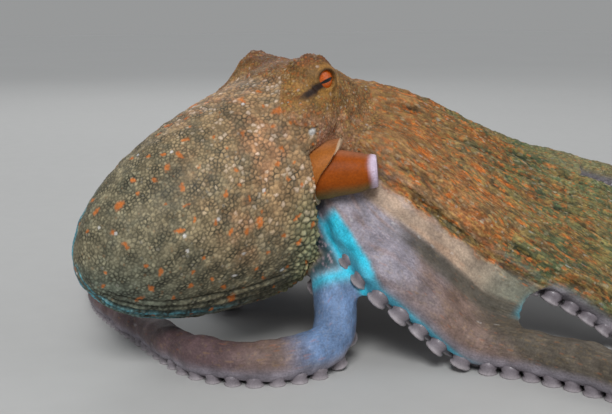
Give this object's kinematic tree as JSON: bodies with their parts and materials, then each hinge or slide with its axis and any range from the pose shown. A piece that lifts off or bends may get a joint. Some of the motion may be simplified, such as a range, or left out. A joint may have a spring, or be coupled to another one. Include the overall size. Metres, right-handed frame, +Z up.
{
  "type": "octopus model",
  "caption": "Life-size still model of a common octopus resting on a floor, head raised, funnel turned to its right, webbed arms spread with their tips curled.",
  "frame": {"origin": "on the floor, at the middle of the footprint of the whole animal", "axes": "+X the way the head faces, +Y the animal's left, +Z up"},
  "size_m": [0.6129, 0.7336, 0.1481],
  "materials": {
    "mantle_skin": "moist skin, olive tan with orange spots",
    "head_skin": "moist skin, ochre brown",
    "arm_skin": "moist skin, rust orange above and pale lilac beneath",
    "web_skin": "moist thin skin, turquoise at its edges",
    "funnel_skin": "smooth moist skin, rust brown",
    "eye": "wet, orange iris with a slit pupil"
  },
  "bodies": {
    "root": {"arm_l1_base": "arm_skin", "arm_l1_mid": "arm_skin", "arm_l1_outer": "arm_skin", "arm_l1_tip": "arm_skin", "arm_l2_base": "arm_skin", "arm_l2_mid": "arm_skin", "arm_l2_outer": "arm_skin", "arm_l2_tip": "arm_skin", "arm_l3_base": "arm_skin", "arm_l3_mid": "arm_skin", "arm_l3_outer": "arm_skin", "arm_l3_tip": "arm_skin", "arm_l4_base": "arm_skin", "arm_l4_mid": "arm_skin", "arm_l4_outer": "arm_skin", "arm_l4_tip": "arm_skin", "arm_r1_base": "arm_skin", "arm_r1_mid": "arm_skin", "arm_r1_outer": "arm_skin", "arm_r1_tip": "arm_skin", "arm_r2_base": "arm_skin", "arm_r2_mid": "arm_skin", "arm_r2_outer": "arm_skin", "arm_r2_tip": "arm_skin", "arm_r3_base": "arm_skin", "arm_r3_mid": "arm_skin", "arm_r3_outer": "arm_skin", "arm_r3_tip": "arm_skin", "arm_r4_base": "arm_skin", "arm_r4_mid": "arm_skin", "arm_r4_outer": "arm_skin", "arm_r4_tip": "arm_skin", "eye_left": "eye", "eye_right": "eye", "funnel": "funnel_skin", "head": "head_skin", "mantle": "mantle_skin", "web_l1_l2": "web_skin", "web_l2_l3": "web_skin", "web_l3_l4": "web_skin", "web_l4_r4": "web_skin", "web_r1_l1": "web_skin", "web_r2_r1": "web_skin", "web_r3_r2": "web_skin", "web_r4_r3": "web_skin"}
  },
  "joints": []
}
